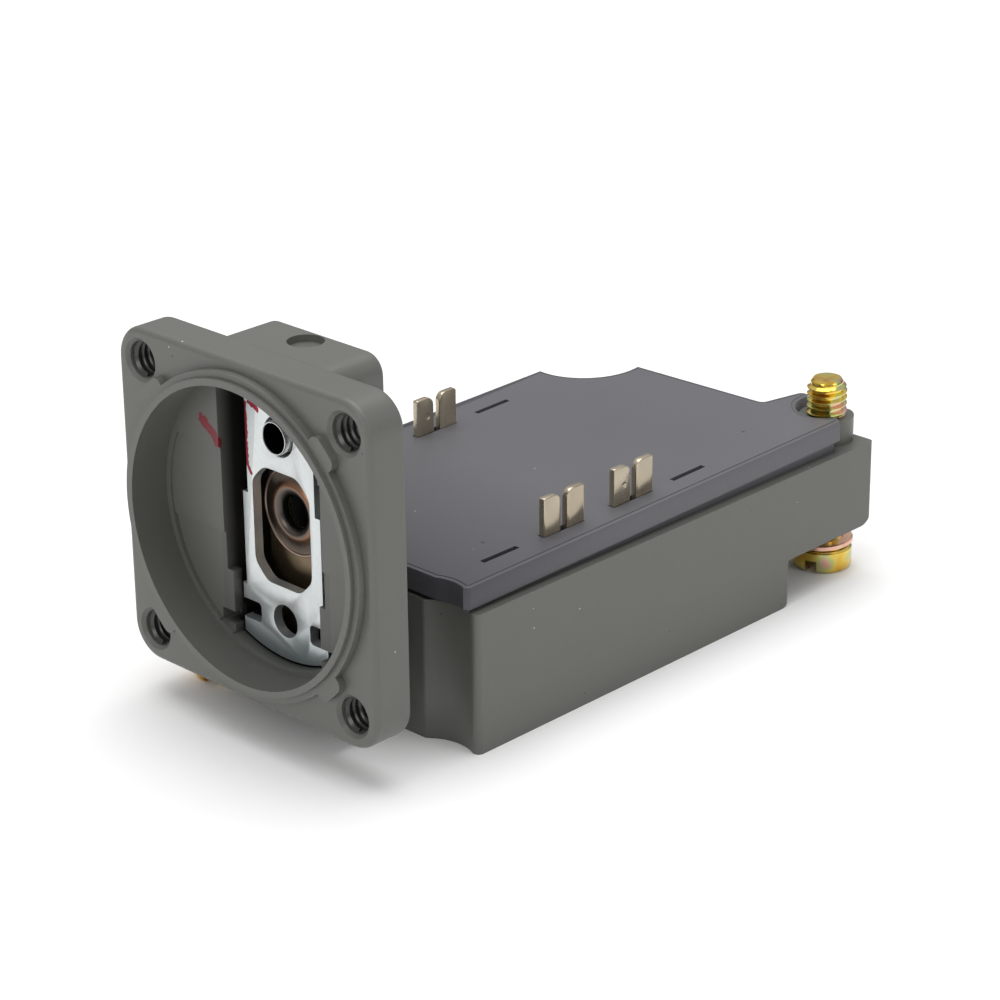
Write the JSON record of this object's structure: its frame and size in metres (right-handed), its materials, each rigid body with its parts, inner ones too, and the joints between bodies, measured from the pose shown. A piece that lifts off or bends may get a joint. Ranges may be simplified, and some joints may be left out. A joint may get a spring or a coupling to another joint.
{
  "type": "limit switch plug-in body",
  "caption": "Die-cast plug-in switch body with a square head flange, sealed rear face, forked plug-in terminals and captive mounting screws.",
  "frame": {"origin": "centre of the four head holes, on the flange's front face", "axes": "+X from the flange face towards the far end, +Z towards the rear gasket face, +Y across the body"},
  "size_m": [0.0845, 0.0404, 0.044],
  "materials": {
    "cast_paint": "satin",
    "gasket_rubber": "satin",
    "seal_rubber": "matte",
    "zinc_plate": "satin",
    "bronze": "satin",
    "copper": "satin",
    "moulding": "matte",
    "tinned_blade": "satin",
    "contact_silver": "satin",
    "spring_steel": "satin",
    "chromate": "gloss"
  },
  "bodies": {
    "housing": {"housing": "cast_paint", "gasket": "gasket_rubber", "retaining_plate": "zinc_plate", "plate_eyelet": "zinc_plate", "rod_bushing": "bronze", "rod_seal": "seal_rubber", "contact_block": "moulding", "contact_block_cover": "moulding", "block_screws": "zinc_plate", "terminal_open_left": "tinned_blade", "terminal_open_right": "tinned_blade", "terminal_closed_left": "tinned_blade", "terminal_closed_right": "tinned_blade", "fixed_contacts_open": "contact_silver", "fixed_contacts_closed": "contact_silver", "return_spring": "spring_steel"},
    "plunger": {"plunger_washer": "bronze", "plunger_eyelet": "copper", "push_bracket": "bronze", "push_rod": "spring_steel", "contact_carrier": "moulding", "contact_bridge_open": "copper", "contact_bridge_closed": "copper", "moving_contacts_open": "contact_silver", "moving_contacts_closed": "contact_silver", "bridge_spring_open": "spring_steel", "bridge_spring_closed": "spring_steel"},
    "washer_near": {"lock_washer_near": "chromate"},
    "screw_near": {"mounting_screw_near": "chromate"},
    "washer_far": {"lock_washer_far": "chromate"},
    "screw_far": {"mounting_screw_far": "chromate"}
  },
  "joints": [
    {"name": "plunger_slide", "type": "slide", "parent": "housing", "child": "plunger", "axis": [1, 0, 0], "range_m": [0, 0.0022], "stiffness_N_per_m": 1200, "springref_m": -0.003, "deforming": ["return_spring"]},
    {"name": "screw_near_travel", "type": "slide", "parent": "housing", "child": "washer_near", "axis": [0, 0, 1], "range_m": [0, 0.0018]},
    {"name": "screw_near_turn", "type": "hinge", "parent": "washer_near", "child": "screw_near", "pos_m": [0.0093, 0.0152, -0.02], "axis": [0, 0, 1], "continuous": true},
    {"name": "screw_far_travel", "type": "slide", "parent": "housing", "child": "washer_far", "axis": [0, 0, 1], "range_m": [0, 0.0018]},
    {"name": "screw_far_turn", "type": "hinge", "parent": "washer_far", "child": "screw_far", "pos_m": [0.07935, -0.0152, -0.02], "axis": [0, 0, 1], "continuous": true}
  ]
}
